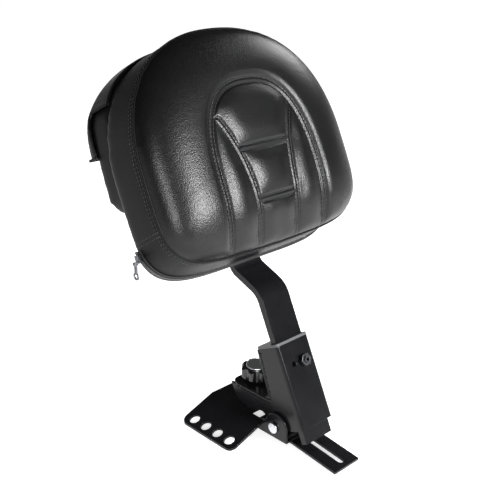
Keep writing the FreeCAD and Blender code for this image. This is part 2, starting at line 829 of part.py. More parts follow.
def pouch_volume(grow):
    """Pouch block with a sagging lower part, grown outward by a distance, in pad axes."""
    front = pad_depth + side_gap
    outline = shield_wire(pouch_width / 2 + grow, pouch_top + grow, pouch_bottom - grow, pouch_waist, front)
    rear = pad_depth + pouch_depth + grow
    sagged = rear + pouch_sag
    block = Part.Face(outline).extrude(Vector(0, sagged - front, 0))
    low = pouch_bottom - grow
    high = pouch_top + grow + 1
    profile = [
        (front - 1, low - 1),
        (sagged - pouch_round, low - 1),
        (sagged, low + pouch_round),
        (rear, pouch_shoulder + grow / 2),
        (front + pouch_neck_depth + grow, high),
        (front - 1, high),
    ]
    return block.common(prism_x(profile, -pouch_width, pouch_width))


def bar_recess():
    """Room in the pouch's front for the bar and the bolt heads, in pad axes."""
    depth = bar_thickness + bolt_head_height + side_gap
    reach = half_bar + side_gap
    return box(-reach, reach, pad_depth, pad_depth + depth, 0, bar_top + side_gap)


def pouch_body():
    """Closed bag on the pad's back, hollowed in front for the bar."""
    return on_pad(pouch_volume(0).cut(bar_recess()))


def flap_zone(lift):
    """Space of the flap: the cap above its side edge and the hem panel behind, raised by a lift."""
    hem_y = pad_depth + pouch_depth - flap_hem_depth
    far = pad_depth + 2 * pouch_depth
    zone = [
        (pad_depth, flap_edge + lift),
        (hem_y, flap_edge + lift),
        (hem_y, flap_hem + lift),
        (far, flap_hem + lift),
        (far, pad_height + pouch_depth),
        (pad_depth, pad_height + pouch_depth),
    ]
    return prism_x(zone, -pouch_width, pouch_width)


def pouch_flap():
    """Flap over the pouch's top, hanging down its rear face."""
    shell = pouch_volume(side_gap + flap_thickness).cut(pouch_volume(side_gap))
    return on_pad(shell.common(flap_zone(0)))


def flap_hem_piping():
    """Piping along the flap's free edge."""
    inner = side_gap + flap_thickness
    shell = pouch_volume(inner + flap_piping).cut(pouch_volume(inner))
    band = flap_zone(0).cut(flap_zone(flap_piping_width))
    return on_pad(shell.common(band).common(flap_zone(0)))


def zip_band(width, inner, outer):
    """Strip of the zip round the lower boxing, in pad axes."""
    front = zip_depth - width / 2
    ring = pad_ring(front, front + width, -outer, -inner)
    low = box(-pad_width, pad_width, 0, 2 * pad_depth, -pad_height, zip_top)
    return ring.common(low)


def zip_tape():
    """Zip tape on the lower rear boxing."""
    return on_pad(zip_band(zip_tape_width, running_gap, zip_tape_thickness))


def zip_chain():
    """Zip teeth along the middle of the tape."""
    return on_pad(zip_band(zip_chain_width, zip_tape_thickness, zip_tape_thickness + zip_chain_thickness))


def zip_face_x():
    """Outer face of the zip chain at the slider, on the left side."""
    drop = pad_drop * zip_depth / pad_depth
    reach = pad_waist + drop
    widest = slider_height_on_pad + slider_length / 2
    share = 1 - ((pad_waist - widest) / reach) ** bottom_power
    half = pad_width / 2 + zip_tape_thickness + zip_chain_thickness
    return -half * share ** (1 / bottom_power)


def bail_x():
    """Across position of the slider's bail."""
    return zip_face_x() - side_gap - slider_thickness - bail_stand


def zip_slider():
    """Slider on the chain, with a bail that carries the pull."""
    face = zip_face_x() - side_gap
    half_length = slider_length / 2
    half_width = slider_width / 2
    low = slider_height_on_pad - half_length
    body = box(face - slider_thickness, face, zip_depth - half_width, zip_depth + half_width,
               low, low + slider_length)
    radius = bail_diameter / 2
    rod = cylinder(radius, slider_width, (bail_x(), zip_depth - half_width, low + radius), (0, 1, 0))
    slider = body.fuse(rod)
    for y in (zip_depth - half_width, zip_depth + half_width - radius):
        slider = slider.fuse(box(bail_x(), face - slider_thickness, y, y + radius, low, low + bail_diameter))
    return on_pad(slider.removeSplitter())


def pull_pivot():
    """Row position of the bail's middle."""
    low = slider_height_on_pad - slider_length / 2
    return (bail_x(), *pad_point(zip_depth, low + bail_diameter / 2))


def zip_pull():
    """Flat pull that hangs from the bail, with a large eye at its lower end."""
    x, y, z = pull_pivot()
    half = pull_thickness / 2
    ring_radius = pull_width / 2
    stem_half = pull_width / 4
    ring_z = z - pull_length + ring_radius
    plate = box(x - half, x + half, y - stem_half, y + stem_half, ring_z, z)
    plate = plate.fuse(cylinder(ring_radius, pull_thickness, (x - half, y, ring_z), (1, 0, 0)))
    plate = plate.cut(cylinder(pull_eye / 2, 2 * pull_thickness, (x - pull_thickness, y, ring_z), (1, 0, 0)))
    axis = (0, up_z, -up_y)
    span = slider_width / 2 - bail_diameter / 2 - side_gap
    start = (x, y - axis[1] * span, z - axis[2] * span)
    barrel = cylinder(bail_diameter / 2 + pull_thickness, 2 * span, start, axis)
    bore_start = (x, y - axis[1] * slider_width, z - axis[2] * slider_width)
    bore = cylinder(bail_diameter / 2 + running_gap, 2 * slider_width, bore_start, axis)
    return plate.fuse(barrel).cut(bore)


nodes = {
    "slotted_tongue": slotted_tongue,
    "hinge_channel": hinge_channel,
    "saddle_plate": saddle_plate,
    "pivot_pin": pivot_pin,
    "pin_clip": lambda: pin_ring(pin_clip_diameter, pin_clip_height, half_channel),
    "pivot_washers": pivot_washers,
    "receiver_channel": receiver_channel,
    "v_plate": v_plate,
    "weld_beads": weld_beads,
    "upper_guide_bush": upper_guide_bush,
    "lower_guide_bush": lower_guide_bush,
    "clamp_screw": clamp_screw,
    "lock_nut": lock_nut,
    "weld_nut": weld_nut,
    "adjuster_knob": adjuster_knob,
    "knob_cap": knob_cap,
    "adjuster_stud": adjuster_stud,
    "adjuster_foot": adjuster_foot,
    "support_bar": support_bar,
    "bar_bolts": bar_bolts,
    "tee_nuts": tee_nuts,
    "backing_board": backing_board,
    "foam_core": foam_core,
    "front_cover": front_cover,
    "side_boxing": side_boxing,
    "back_panel": back_panel,
    "seam_piping": seam_piping,
    "pouch_body": pouch_body,
    "pouch_flap": pouch_flap,
    "flap_hem_piping": flap_hem_piping,
    "zip_tape": zip_tape,
    "zip_chain": zip_chain,
    "zip_slider": zip_slider,
    "zip_pull": zip_pull,
}

os.makedirs("parts", exist_ok=True)
for name, make in nodes.items():
    solid = make()
    solid.exportStep(f"parts/{name}.step")
    box_size = solid.BoundBox
    print(f"{name:18s} {solid.isValid()} {len(solid.Solids)} {solid.Volume / 1000:9.2f} cm3",
          f"x {box_size.XMin:.1f} {box_size.XMax:.1f} y {box_size.YMin:.1f} {box_size.YMax:.1f}",
          f"z {box_size.ZMin:.1f} {box_size.ZMax:.1f}")
print("flange holes", flange_hole_places(), "zip pull pivot", pull_pivot())
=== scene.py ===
"""Motorcycle driver backrest: the finish of its steel, the sewn pad and the pouch, over the solid model."""
import json
import math
import bpy
import numpy as np
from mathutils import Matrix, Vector
from mathutils.bvhtree import BVHTree
from mathutils.kdtree import KDTree


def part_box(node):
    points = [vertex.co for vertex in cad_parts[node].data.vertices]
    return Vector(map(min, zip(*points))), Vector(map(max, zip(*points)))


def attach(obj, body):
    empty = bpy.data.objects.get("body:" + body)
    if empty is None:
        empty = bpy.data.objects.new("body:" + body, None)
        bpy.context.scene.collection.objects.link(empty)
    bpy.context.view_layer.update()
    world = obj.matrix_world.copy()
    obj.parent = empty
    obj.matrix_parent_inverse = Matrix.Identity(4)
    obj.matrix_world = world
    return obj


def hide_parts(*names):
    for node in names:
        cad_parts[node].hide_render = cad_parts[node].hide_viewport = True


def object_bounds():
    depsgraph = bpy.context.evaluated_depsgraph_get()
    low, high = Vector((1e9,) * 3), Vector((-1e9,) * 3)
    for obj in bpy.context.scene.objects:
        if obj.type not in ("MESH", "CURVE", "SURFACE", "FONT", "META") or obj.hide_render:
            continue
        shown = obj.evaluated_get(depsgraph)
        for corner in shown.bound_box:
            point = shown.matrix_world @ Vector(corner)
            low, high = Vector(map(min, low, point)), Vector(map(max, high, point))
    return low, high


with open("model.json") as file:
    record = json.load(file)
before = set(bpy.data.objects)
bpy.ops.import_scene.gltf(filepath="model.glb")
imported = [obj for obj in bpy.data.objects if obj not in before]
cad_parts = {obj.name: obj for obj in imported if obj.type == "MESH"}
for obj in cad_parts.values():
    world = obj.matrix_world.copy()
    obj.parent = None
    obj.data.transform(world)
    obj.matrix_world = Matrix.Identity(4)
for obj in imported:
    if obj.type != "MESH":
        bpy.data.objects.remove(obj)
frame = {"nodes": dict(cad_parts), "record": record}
solid_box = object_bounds()
bpy.ops.object.select_all(action="DESELECT")

# Powder-coated sheet steel
# The strap, hinge channel, saddle, receiver and V plate are 3 mm sheet, cut, folded and welded.
# A powder coat gives them a deep gloss black, a faint orange peel and edges that are rounded by the film.
merge_gap = 0.000005
flat_angle = math.radians(0.6)
sharp_angle = math.radians(32)
smooth_angle = math.radians(50)
sheet_edge = 0.0014


def linear(hex_colour):
    """Linear colour of an sRGB hex value."""
    parts = [int(hex_colour[start:start + 2], 16) / 255 for start in (1, 3, 5)]
    return [part / 12.92 if part <= 0.04045 else ((part + 0.055) / 1.055) ** 2.4 for part in parts] + [1.0]


def add(tree, kind, inputs=None, **settings):
    """Adds a node with its settings, and its inputs as values or as links from output sockets."""
    node = tree.nodes.new(kind)
    for name, value in settings.items():
        setattr(node, name, value)
    for name, value in (inputs or {}).items():
        if isinstance(value, bpy.types.NodeSocket):
            tree.links.new(value, node.inputs[name])
        else:
            node.inputs[name].default_value = value
    return node


def new_material(name):
    """Empty node material and its tree."""
    material = bpy.data.materials.new(name)
    material.use_nodes = True
    material.node_tree.nodes.clear()
    return material, material.node_tree


def finish_material(tree, shader):
    """Joins a shader to the material's surface."""
    add(tree, "ShaderNodeOutputMaterial", {"Surface": shader.outputs["BSDF"]})


def powder_coat():
    """Gloss black polyester powder coat: orange peel of about 2 mm, and a slightly uneven gloss."""
    material, tree = new_material("gloss_powder_coat")
    place = add(tree, "ShaderNodeTexCoord").outputs["Object"]
    peel = add(tree, "ShaderNodeTexNoise", {"Vector": place, "Scale": 1 / 0.0022, "Detail": 2.0})
    cloud = add(tree, "ShaderNodeTexNoise", {"Vector": place, "Scale": 1 / 0.030, "Detail": 3.0})
    gloss = add(tree, "ShaderNodeMapRange", {"Value": cloud.outputs["Fac"], "To Min": 0.15, "To Max": 0.25})
    bump = add(tree, "ShaderNodeBump", {"Height": peel.outputs["Fac"], "Strength": 0.05,
                                        "Distance": 0.0004})
    shade = add(tree, "ShaderNodeMixRGB", {"Fac": cloud.outputs["Fac"], "Color1": linear("#0b0b0c"),
                                          "Color2": linear("#131315")})
    finish_material(tree, add(tree, "ShaderNodeBsdfPrincipled", {
        "Base Color": shade.outputs["Color"], "Roughness": gloss.outputs["Result"],
        "IOR": 1.5, "Specular IOR Level": 0.20, "Normal": bump.outputs["Normal"]}))
    return material


def body_of(node):
    """Name of the moving body that a solid belongs to."""
    bodies = frame["record"]["behaviour"]["bodies"]
    return next(body for body, names in bodies.items() if node in names)


def select_only(piece):
    """Makes a piece the only selected and active object."""
    bpy.ops.object.select_all(action="DESELECT")
    piece.select_set(True)
    bpy.context.view_layer.objects.active = piece


def solid_copy(node, name):
    """Merged copy of a solid's mesh, as a new piece at the origin."""
    mesh = frame["nodes"][node].data.copy()
    mesh.materials.clear()
    piece = bpy.data.objects.new(name, mesh)
    bpy.context.scene.collection.objects.link(piece)
    select_only(piece)
    bpy.ops.object.mode_set(mode="EDIT")
    bpy.ops.mesh.select_all(action="SELECT")
    bpy.ops.mesh.remove_doubles(threshold=merge_gap)
    bpy.ops.object.mode_set(mode="OBJECT")
    return piece


def dress(piece, material, *stands_for):
    """Gives a piece its material and its body, and hides the solids that it stands for."""
    piece.data.materials.clear()
    piece.data.materials.append(material)
    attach(piece, body_of(stands_for[0]))
    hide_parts(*stands_for)


def apply_modifier(piece, kind, **settings):
    """Adds one modifier to the active piece and applies it."""
    modifier = piece.modifiers.new(kind.lower(), kind)
    for name, value in settings.items():
        setattr(modifier, name, value)
    select_only(piece)
    bpy.ops.object.modifier_apply(modifier=modifier.name)


def rounded(node, width, material):
    """Stands in for a solid with a copy whose sharp edges are rounded to a width."""
    piece = solid_copy(node, f"{node}_finished")
    bpy.ops.object.mode_set(mode="EDIT")
    bpy.ops.mesh.select_all(action="SELECT")
    bpy.ops.mesh.dissolve_limited(angle_limit=flat_angle)
    bpy.ops.object.mode_set(mode="OBJECT")
    apply_modifier(piece, "BEVEL", width=width, segments=3, limit_method="ANGLE",
                   angle_limit=sharp_angle, use_clamp_overlap=True)
    bpy.ops.object.shade_smooth_by_angle(angle=smooth_angle)
    apply_modifier(piece, "WEIGHTED_NORMAL", mode="FACE_AREA", weight=100, keep_sharp=True)
    dress(piece, material, node)
    return piece


coat = powder_coat()
for sheet_piece in ("slotted_tongue", "hinge_channel", "saddle_plate", "receiver_channel", "v_plate"):
    rounded(sheet_piece, sheet_edge, coat)

# Weld beads
# A bead runs along the V joint on each side of the wedge, laid by hand in short overlapping pools.
# It lies under the same powder coat as the sheet around it.
bead_radius = 0.0026
bead_run = 0.0160
pool_pitch = 0.0034
pool_flat = 0.55
pool_width = 1.15
pool_change = 0.16


def joined(pieces, name):
    """Joins pieces into one mesh."""
    bpy.ops.object.select_all(action="DESELECT")
    for piece in pieces:
        piece.select_set(True)
    bpy.context.view_layer.objects.active = pieces[0]
    if len(pieces) > 1:
        bpy.ops.object.join()
    whole = bpy.context.object
    whole.name = name
    return whole


def weld_row(points, name):
    """Row of flattened pools along a polyline, of slightly uneven size, as one mesh."""
    bpy.ops.object.select_all(action="DESELECT")
    pools = []
    for start, end in zip(points, points[1:]):
        count = max(2, round((end - start).length / pool_pitch))
        for step in range(count):
            middle = start.lerp(end, (step + 0.5) / count)
            bpy.ops.mesh.primitive_uv_sphere_add(segments=12, ring_count=8, radius=bead_radius,
                                                 location=middle)
            pool = bpy.context.object
            growth = 1.0 + pool_change * math.sin(2.4 * step + 11 * start.z)
            pool.scale = (pool_flat * growth, pool_width, growth)
            pool.rotation_euler = (math.atan2((end - start).z, (end - start).y), 0, 0)
            pools.append(pool)
    row = joined(pools, name)
    bpy.ops.object.transform_apply(location=True, rotation=True, scale=True)
    bpy.ops.object.shade_smooth()
    return row


bead_low, bead_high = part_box("weld_beads")
plate_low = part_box("v_plate")[0]
bead_apex = Vector((0, bead_low[1] + bead_radius, bead_low[2] + bead_radius))
bead_top = Vector((0, plate_low[1] + bead_run, bead_high[2] - bead_radius))
bead_tail = Vector((0, bead_high[1], bead_apex.z))
bead_sides = []
for side_x in (bead_low[0] + bead_radius, bead_high[0] - bead_radius):
    shift = Vector((side_x, 0, 0))
    side_points = [bead_top + shift, bead_apex + shift, bead_tail + shift]
    bead_sides.append(weld_row(side_points, "weld_bead_side"))
dress(joined(bead_sides, "weld_beads_finished"), coat, "weld_beads")

# Pivot pin and its rings
# A headed steel pin with bright zinc plate runs through both ears, held by a push-on ring at its far end.
# Nylon washers keep the cheeks off the ears, and nylon bushes guide the bar in the receiver.


def plated_steel(name, pale, dark, roughness):
    """Plated or oxide-finished steel: a fine tooled roughness of about 0.6 mm and a cloudy tone."""
    material, tree = new_material(name)
    place = add(tree, "ShaderNodeTexCoord").outputs["Object"]
    cloud = add(tree, "ShaderNodeTexNoise", {"Vector": place, "Scale": 1 / 0.004, "Detail": 4.0})
    lines = add(tree, "ShaderNodeTexNoise", {"Vector": place, "Scale": 1 / 0.0006, "Detail": 2.0})
    tone = add(tree, "ShaderNodeMixRGB", {"Fac": cloud.outputs["Fac"], "Color1": linear(dark),
                                         "Color2": linear(pale)})
    polish = add(tree, "ShaderNodeMapRange", {"Value": lines.outputs["Fac"], "To Min": roughness - 0.07,
                                             "To Max": roughness + 0.07})
    bump = add(tree, "ShaderNodeBump", {"Height": lines.outputs["Fac"], "Strength": 0.08,
                                        "Distance": 0.0002})
    finish_material(tree, add(tree, "ShaderNodeBsdfPrincipled", {
        "Base Color": tone.outputs["Color"], "Metallic": 1.0, "Roughness": polish.outputs["Result"],
        "Normal": bump.outputs["Normal"]}))
    return material


def moulded_plastic(name, colour, low, high, grain):
    """Moulded plastic or rubber: one colour with a fine spark-eroded grain and an uneven gloss."""
    material, tree = new_material(name)
    place = add(tree, "ShaderNodeTexCoord").outputs["Object"]
    speck = add(tree, "ShaderNodeTexNoise", {"Vector": place, "Scale": 1 / grain, "Detail": 3.0})
    gloss = add(tree, "ShaderNodeMapRange", {"Value": speck.outputs["Fac"], "To Min": low, "To Max": high})
    bump = add(tree, "ShaderNodeBump", {"Height": speck.outputs["Fac"], "Strength": 0.1,
                                        "Distance": 0.0003})
    finish_material(tree, add(tree, "ShaderNodeBsdfPrincipled", {
        "Base Color": linear(colour), "Roughness": gloss.outputs["Result"], "IOR": 1.49,
        "Normal": bump.outputs["Normal"]}))
    return material


bright_zinc = plated_steel("bright_zinc_plate", "#d9dade", "#a9abb0", 0.26)
nylon = moulded_plastic("dark_nylon", "#3a3b3d", 0.42, 0.58, 0.0008)
rounded("pivot_pin", 0.0009, bright_zinc)
rounded("pin_clip", 0.0003, bright_zinc)
rounded("pivot_washers", 0.0002, nylon)
rounded("upper_guide_bush", 0.0014, nylon)
rounded("lower_guide_bush", 0.0005, nylon)

# Clamp screw and nuts
# A black oxide set screw with a hexagon socket runs through a nut on the receiver's front and bears on
# the bar. Another nut is welded under the adjuster's arm. The oxide has a cloudy dark grey tone.
black_oxide = plated_steel("black_oxide_steel", "#5d5f63", "#2a2b2d", 0.33)
rounded("clamp_screw", 0.0004, black_oxide)
rounded("lock_nut", 0.0007, black_oxide)
rounded("weld_nut", 0.0006, black_oxide)

# Tilt adjuster
# A lobed knob of gloss black phenolic turns a zinc-plated stud with a rubber foot on the saddle's crown.
# A cap of satin chrome is pressed into the knob's top.
phenolic = moulded_plastic("gloss_phenolic", "#131314", 0.14, 0.24, 0.0012)
rubber = moulded_plastic("black_rubber", "#1b1b1c", 0.62, 0.80, 0.0006)
chrome = plated_steel("satin_chrome", "#f2f2f4", "#d9dadd", 0.30)
rounded("adjuster_knob", 0.0012, phenolic)
rounded("knob_cap", 0.0004, chrome)
rounded("adjuster_stud", 0.0004, bright_zinc)
rounded("adjuster_foot", 0.0006, rubber)

# Support bar and bolts
# A flat bar of 8 mm steel, bent cold at two places and powder coated, carries the pad.
# Two domed bolts go through it into tee nuts in the pad's board.
bar_edge = 0.0022
rounded("support_bar", bar_edge, coat)
rounded("bar_bolts", 0.0004, black_oxide)
rounded("tee_nuts", 0.0003, bright_zinc)

# Pad: board and foam
# A plywood board and a block of foam are closed inside the cover. The board stays as the solid model has
# it. The foam is a softened copy, cut back a little so that it stays clear of the cover.
foam_voxel = 0.006
foam_cut_back = 0.0025


def plywood():
    """Birch plywood: pale veneer with long uneven grain."""
    material, tree = new_material("birch_plywood")
    place = add(tree, "ShaderNodeTexCoord").outputs["Object"]
    grain = add(tree, "ShaderNodeTexWave", {"Vector": place, "Scale": 1 / 0.06, "Distortion": 6.0,
                                            "Detail": 3.0})
    tone = add(tree, "ShaderNodeMixRGB", {"Fac": grain.outputs["Fac"], "Color1": linear("#c9a878"),
                                         "Color2": linear("#b58f5e")})
    finish_material(tree, add(tree, "ShaderNodeBsdfPrincipled", {
        "Base Color": tone.outputs["Color"], "Roughness": 0.65}))
    return material


def repaint(node, material):
    """Gives a solid that stays as it is a better material."""
    target = frame["nodes"][node]
    target.data.materials.clear()
    target.data.materials.append(material)


repaint("backing_board", plywood())
foam = solid_copy("foam_core", "foam_core_cut")
apply_modifier(foam, "REMESH", mode="VOXEL", voxel_size=foam_voxel)
apply_modifier(foam, "SMOOTH", factor=0.5, iterations=8)
apply_modifier(foam, "DISPLACE", strength=-foam_cut_back, mid_level=0.0)
bpy.ops.object.shade_smooth()
dress(foam, moulded_plastic("cut_foam", "#cfc6a8", 0.85, 0.95, 0.0015), "foam_core")

# Pad axes
# The pad leans back with the bar, so its pieces are worked on in axes of its own.
# Across is X, back runs through its thickness, and up runs along its face.
joints = {joint["name"]: joint for joint in frame["record"]["behaviour"]["joints"]}
up = Vector(joints["height"]["axis"]).normalized()
back = Vector(joints["zip_pull_swing"]["axis"]).normalized()
pad_origin = Vector((0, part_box("side_boxing")[0][1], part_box("front_cover")[0][2]))
half_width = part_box("front_cover")[1][0]


def pad_place(across, depth, height):
    """Row position of a point in pad axes."""
    return pad_origin + Vector((across, 0, 0)) + back * depth + up * height


def pad_coordinates(points):
    """Across, depth and height of row points, as columns."""
    offset = np.asarray(points) - np.array(pad_origin)
    return np.stack([offset[:, 0], offset @ np.array(back), offset @ np.array(up)], axis=1)


def mesh_points(mesh):
    """Vertex positions of a mesh as an array."""
    points = np.empty(len(mesh.vertices) * 3)
    mesh.vertices.foreach_get("co", points)
    return points.reshape(-1, 3)


def set_points(mesh, points):
    """Writes vertex positions back to a mesh."""
    mesh.vertices.foreach_set("co", np.asarray(points).ravel())
    mesh.update()


pad_rear = max(pad_coordinates(mesh_points(frame["nodes"]["back_panel"].data))[:, 1])

# Sewn cover of the pad
# The cover is black faux leather over foam. It starts as the hull of its front, boxing and back, remeshed
# to one closed form. A cloth simulation swells it a little while the back stays flat on its board.
soft_voxel = 0.005
cloth_frames = 20
cloth_stiffness = 25
cloth_bending = 8
pad_pressure = 3.0
pad_swell = 0.003
back_held = 0.012


def faux_leather(name, dark, pale, low, high, depth, shine):
    """Vinyl leather: embossed pebble grain of about 1.3 mm, drawn a little coarse, and a 12 mm mottle."""
    material, tree = new_material(name)
    place = add(tree, "ShaderNodeTexCoord").outputs["Object"]
    pebble = add(tree, "ShaderNodeTexVoronoi", {"Vector": place, "Scale": 1 / 0.0013, "Randomness": 1.0})
    crease = add(tree, "ShaderNodeTexNoise", {"Vector": place, "Scale": 1 / 0.0035, "Detail": 5.0})
    mottle = add(tree, "ShaderNodeTexNoise", {"Vector": place, "Scale": 1 / 0.012, "Detail": 4.0})
    height = add(tree, "ShaderNodeMath", {0: pebble.outputs["Distance"], 1: crease.outputs["Fac"]},
                 operation="ADD")
    bump = add(tree, "ShaderNodeBump", {"Height": height.outputs["Value"], "Strength": depth,
                                        "Distance": 0.0006})
    tone = add(tree, "ShaderNodeMixRGB", {"Fac": mottle.outputs["Fac"], "Color1": linear(dark),
                                         "Color2": linear(pale)})
    gloss = add(tree, "ShaderNodeMapRange", {"Value": crease.outputs["Fac"], "To Min": low, "To Max": high})
    finish_material(tree, add(tree, "ShaderNodeBsdfPrincipled", {
        "Base Color": tone.outputs["Color"], "Roughness": gloss.outputs["Result"], "IOR": 1.5,
        "Specular IOR Level": shine, "Normal": bump.outputs["Normal"]}))
    return material


def swell(piece, pressure, cap, held):
    """Swells a closed form with pressure, with the held points fixed, and caps how far a point moves."""
    group = piece.vertex_groups.new(name="held")
    group.add([int(index) for index in np.nonzero(held)[0]], 1.0, "REPLACE")
    before = mesh_points(piece.data)
    cloth = piece.modifiers.new("cloth", "CLOTH")
    cloth.settings.vertex_group_mass = "held"
    cloth.settings.use_pressure = True
    cloth.settings.uniform_pressure_force = pressure
    cloth.settings.effector_weights.gravity = 0
    cloth.settings.tension_stiffness = cloth_stiffness
    cloth.settings.compression_stiffness = cloth_stiffness
    cloth.settings.bending_stiffness = cloth_bending
    cloth.point_cache.frame_start = 1
    cloth.point_cache.frame_end = cloth_frames
    for step in range(1, cloth_frames + 1):
        bpy.context.scene.frame_set(step)
    swollen = piece.evaluated_get(bpy.context.evaluated_depsgraph_get())
    moved = mesh_points(swollen.data) - before
    piece.modifiers.remove(cloth)
    reach = np.linalg.norm(moved, axis=1, keepdims=True)
    scale = np.minimum(1.0, cap / np.maximum(reach, 1e-9))
    set_points(piece.data, before + moved * scale)
    bpy.context.scene.frame_set(1)


cover_solids = ("front_cover", "side_boxing", "back_panel")
pad_form = joined([solid_copy(node, f"{node}_form") for node in cover_solids], "pad_form")
bpy.ops.object.mode_set(mode="EDIT")
bpy.ops.mesh.select_all(action="SELECT")
bpy.ops.mesh.convex_hull()
bpy.ops.object.mode_set(mode="OBJECT")
apply_modifier(pad_form, "REMESH", mode="VOXEL", voxel_size=soft_voxel)
apply_modifier(pad_form, "SMOOTH", factor=0.5, iterations=2)
places = pad_coordinates(mesh_points(pad_form.data))
swell(pad_form, pad_pressure, pad_swell, places[:, 1] > pad_rear - back_held)
apply_modifier(pad_form, "SMOOTH", factor=0.5, iterations=5)
apply_modifier(pad_form, "SUBSURF", levels=1, render_levels=1)


def cut_copy(source, name, depth, keep_front):
    """Copy of the pad form on one side of a plane across its thickness."""
    piece = source.copy()
    piece.data = source.data.copy()
    piece.name = name
    bpy.context.scene.collection.objects.link(piece)
    select_only(piece)
    bpy.ops.object.mode_set(mode="EDIT")
    bpy.ops.mesh.select_all(action="SELECT")
    bpy.ops.mesh.bisect(plane_co=pad_place(0, depth, 0), plane_no=back, clear_outer=keep_front,
                        clear_inner=not keep_front, use_fill=False)
    bpy.ops.object.mode_set(mode="OBJECT")
    piece.vertex_groups.clear()
    return piece


front = cut_copy(pad_form, "front_cover_sewn", 0.0, True)
sides = cut_copy(pad_form, "boxing_and_back_sewn", 0.0, False)
bpy.data.objects.remove(pad_form)

# Front panels and their seams
# The front is cut as an arch, a waisted middle with two cross welts, and a wide surround. Each seam is
# opened flat and stitched down on both sides, so the panels puff up beside a narrow stitched band.
arch_half = 0.071
arch_waist = 0.070
arch_rise = 0.105
arch_power = 2.6
middle_foot = 0.028
middle_spread = 0.023
middle_height = 0.137
middle_power = 3.2
welt_heights = (0.105, 0.048)
stitch_offset = 0.0028
seam_overrun = 0.004
insert_sink = 0.0042
sink_start = 0.012
sink_run = 0.016
band_depth = 0.0009
band_half = 0.0042
row_depth = 0.0009
row_half = 0.0012
ridge_height = 0.0005
ridge_half = 0.0013
inner_puff = 0.0034
outer_puff = 0.0012
puff_run = 0.012
edge_start = 0.004
edge_run = 0.014


def even_points(line, spacing):
    """Resamples a polyline at an even spacing."""
    steps = np.linalg.norm(np.diff(line, axis=0), axis=1)
    along = np.concatenate([[0], np.cumsum(steps)])
    count = max(2, int(round(along[-1] / spacing)) + 1)
    wanted = np.linspace(0, along[-1], count)
    return np.stack([np.interp(wanted, along, line[:, column]) for column in range(line.shape[1])], axis=1)


def arch_line(spacing):
    """The arch seam: straight legs up to its waist and a round top by a superellipse."""
    points = [(-arch_half, -seam_overrun)]
    for step in range(49):
        angle = math.pi * (1 - step / 48)
        across = abs(math.cos(angle)) / arch_half
        along = abs(math.sin(angle)) / arch_rise
        radius = (across ** arch_power + along ** arch_power) ** (-1 / arch_power)
        points.append((radius * math.cos(angle), arch_waist + radius * math.sin(angle)))
    points.append((arch_half, -seam_overrun))
    return even_points(np.array(points), spacing)


def middle_half(height):
    """Half width of the middle panel at a height."""
    return middle_foot + middle_spread * (np.maximum(height, 0) / middle_height) ** middle_power


def seam_lines(spacing):
    """All seams of the front, as polylines of across and height."""
    heights = np.linspace(-seam_overrun, middle_height + 0.002, 60)
    right = even_points(np.stack([middle_half(heights), heights], axis=1), spacing)
    lines = [arch_line(spacing), right, right * np.array([-1, 1])]
    for height in welt_heights:
        reach = middle_half(height)
        lines.append(even_points(np.array([(-reach, height), (reach, height)]), spacing))
    return lines


apply_modifier(front, "SUBSURF", levels=1, render_levels=1)
seams = seam_lines(0.001)


def line_tree(lines):
    """Search tree of the points of polylines."""
    points = np.vstack(lines)
    tree = KDTree(len(points))
    for index, (x, y) in enumerate(points):
        tree.insert((x, y, 0), index)
    tree.balance()
    return tree


seam_tree = line_tree(seams)
arch_tree = line_tree(seams[:1])
panel_trees = [line_tree([line]) for line in seams]


def panel_relief(points):
    """Relief of the front: a sunk arch, a band and two stitch dents at each seam, and puffed panels."""
    places = pad_coordinates(points)
    distance = np.array([seam_tree.find((x, s, 0))[2] for x, _, s in places])
    from_arch = np.array([arch_tree.find((x, s, 0))[2] for x, _, s in places])
    rise = np.maximum(places[:, 2] - arch_waist, 0)
    inside = (np.abs(places[:, 0]) / arch_half) ** arch_power + (rise / arch_rise) ** arch_power < 1
    signed = np.where(inside, -from_arch, from_arch)
    roll = np.clip((sink_start - signed) / sink_run, 0, 1)
    sink = -insert_sink * roll * roll * (3 - 2 * roll)
    band = -band_depth * np.exp(-(distance / band_half) ** 4)
    rows = -row_depth * np.exp(-((distance - stitch_offset) / row_half) ** 2)
    ridge = ridge_height * np.exp(-(distance / ridge_half) ** 2)
    puff = np.where(inside, inner_puff, outer_puff)
    for tree in panel_trees:
        from_seam = np.array([tree.find((x, s, 0))[2] for x, _, s in places])
        puff = puff * (1 - np.exp(-(from_seam / puff_run) ** 2))
    edge = np.clip((-places[:, 1] - edge_start) / edge_run, 0, 1)
    return (sink + band + rows + ridge + puff) * edge


front_points = mesh_points(front.data)
relief = panel_relief(front_points)
set_points(front.data, front_points - np.outer(relief, np.array(back)))
select_only(front)
bpy.ops.object.shade_smooth()
leather = faux_leather("black_faux_leather", "#070708", "#0c0c0d", 0.27, 0.38, 0.22, 0.24)
dress(front, leather, "front_cover")

# Boxing and back of the cover
# The sides are a band of smoother vinyl, joined to the front at the piped seam.
# The back is of the same vinyl and lies flat on the board.
select_only(sides)
bpy.ops.object.shade_smooth()
smooth_vinyl = faux_leather("smooth_black_vinyl", "#0a0a0b", "#101011", 0.38, 0.48, 0.10, 0.08)
dress(sides, smooth_vinyl, "side_boxing", "back_panel")

# Stitching
# Black polyester thread in stitches 4.2 mm apart, in a row along both sides of each front seam.
# The thread is drawn about 1 mm thick, which is coarse, so that it shows.
stitch_pitch = 0.0042
stitch_length = 0.0030
stitch_radius = 0.00055
stitch_lift = 0.0002


def surface_tree(piece):
    """Search tree of a piece's faces."""
    return BVHTree.FromObject(piece, bpy.context.evaluated_depsgraph_get())


